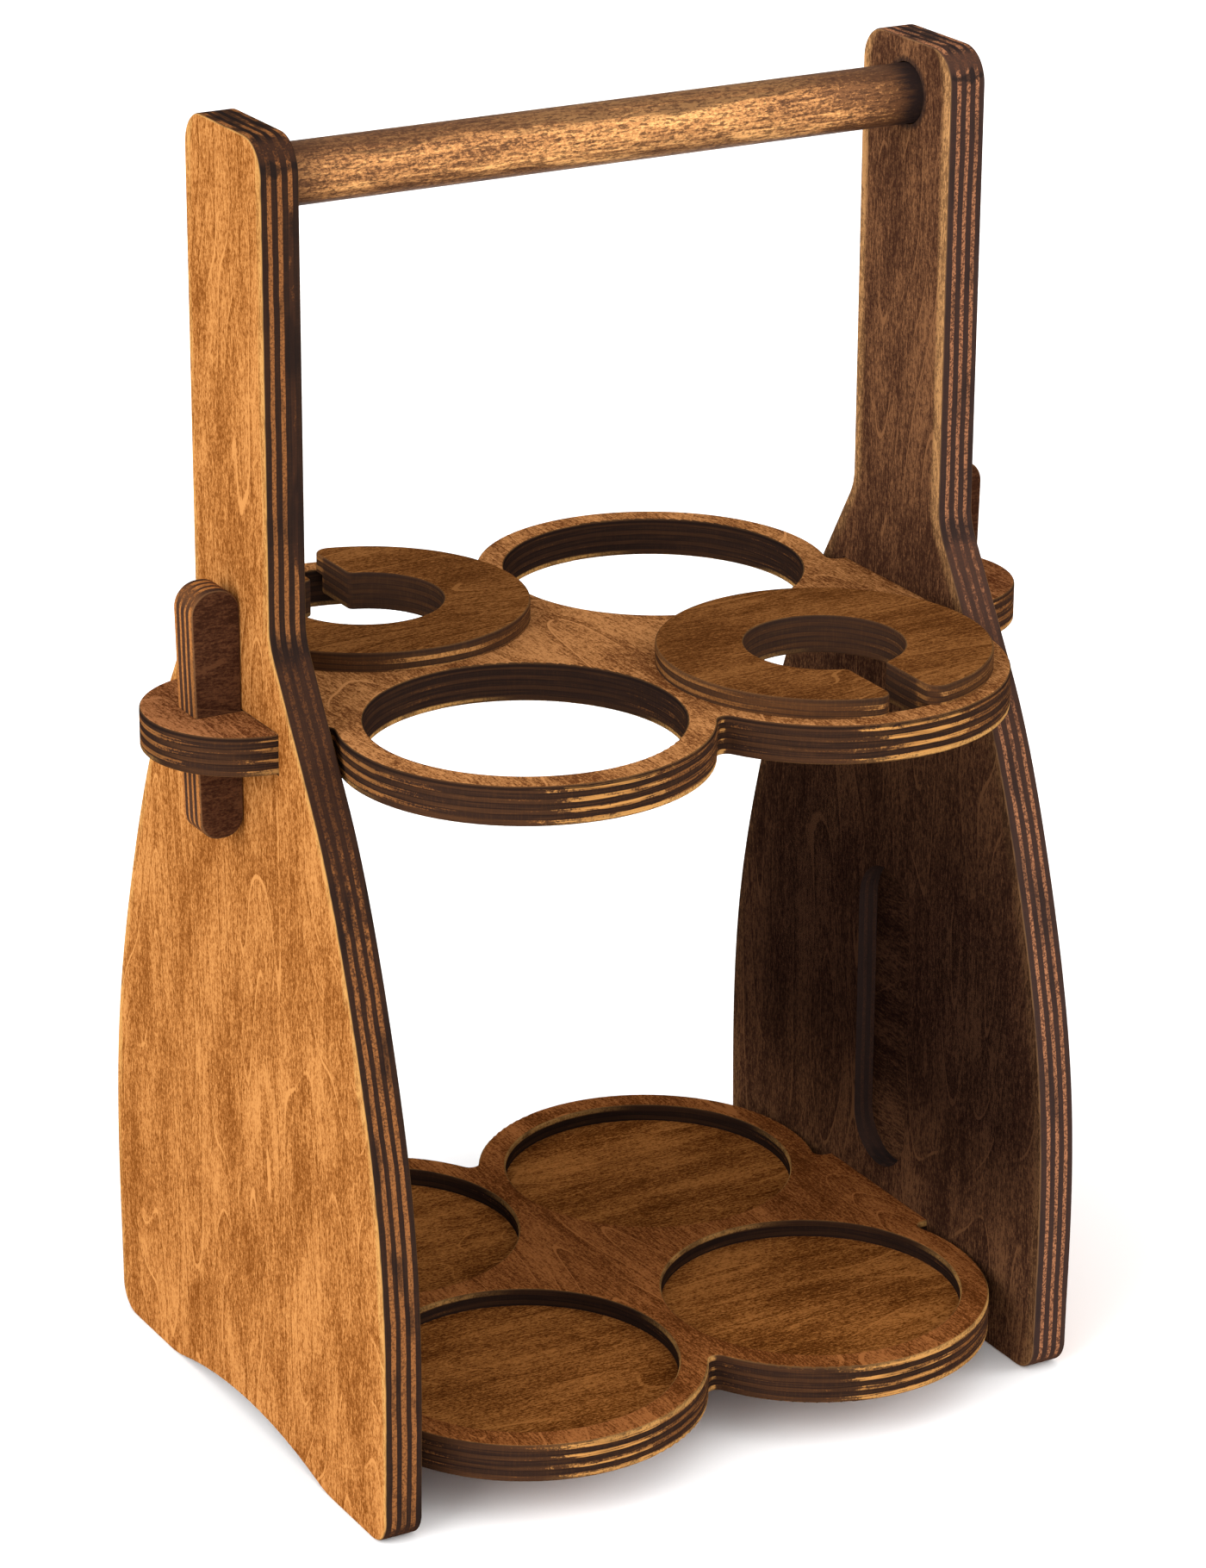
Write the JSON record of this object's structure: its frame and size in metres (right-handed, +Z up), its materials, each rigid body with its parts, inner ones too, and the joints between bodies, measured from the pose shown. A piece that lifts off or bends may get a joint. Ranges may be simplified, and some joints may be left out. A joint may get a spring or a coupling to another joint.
{
  "type": "bottle caddy",
  "caption": "Stained plywood caddy with a dowel handle: lobed bottle shelf and recessed tray between flared side panels, wedge-keyed tenons, and lift-out discs that hang stemmed glasses.",
  "frame": {"origin": "on the floor plane, below the middle of the caddy", "axes": "+X along the handle from the left panel to the right one, +Y from the front to the back, +Z up"},
  "size_m": [0.2558, 0.1852, 0.354],
  "materials": {
    "panel_ply": "satin stained birch plywood",
    "plate_ply": "satin stained birch plywood",
    "disc_ply": "satin stained birch plywood",
    "key_ply": "satin stained birch plywood",
    "rod_wood": "satin stained hardwood dowel"
  },
  "bodies": {
    "carrier": {"left_side_panel": "panel_ply", "right_side_panel": "panel_ply", "handle_rod": "rod_wood", "upper_shelf": "plate_ply", "lower_tray": "plate_ply"},
    "left_wedge": {"left_key": "key_ply"},
    "right_wedge": {"right_key": "key_ply"},
    "front_disc": {"front_glass_holder": "disc_ply"},
    "rear_disc": {"rear_glass_holder": "disc_ply"}
  },
  "joints": [
    {"name": "left_key_slide", "type": "slide", "parent": "carrier", "child": "left_wedge", "axis": [0, 0, 1], "range_m": [0, 0.19]},
    {"name": "right_key_slide", "type": "slide", "parent": "carrier", "child": "right_wedge", "axis": [0, 0, 1], "range_m": [0, 0.19]},
    {"name": "front_holder_lift", "type": "slide", "parent": "carrier", "child": "front_disc", "axis": [0, 0, 1], "range_m": [0, 0.12]},
    {"name": "rear_holder_lift", "type": "slide", "parent": "carrier", "child": "rear_disc", "axis": [0, 0, 1], "range_m": [0, 0.12]}
  ]
}
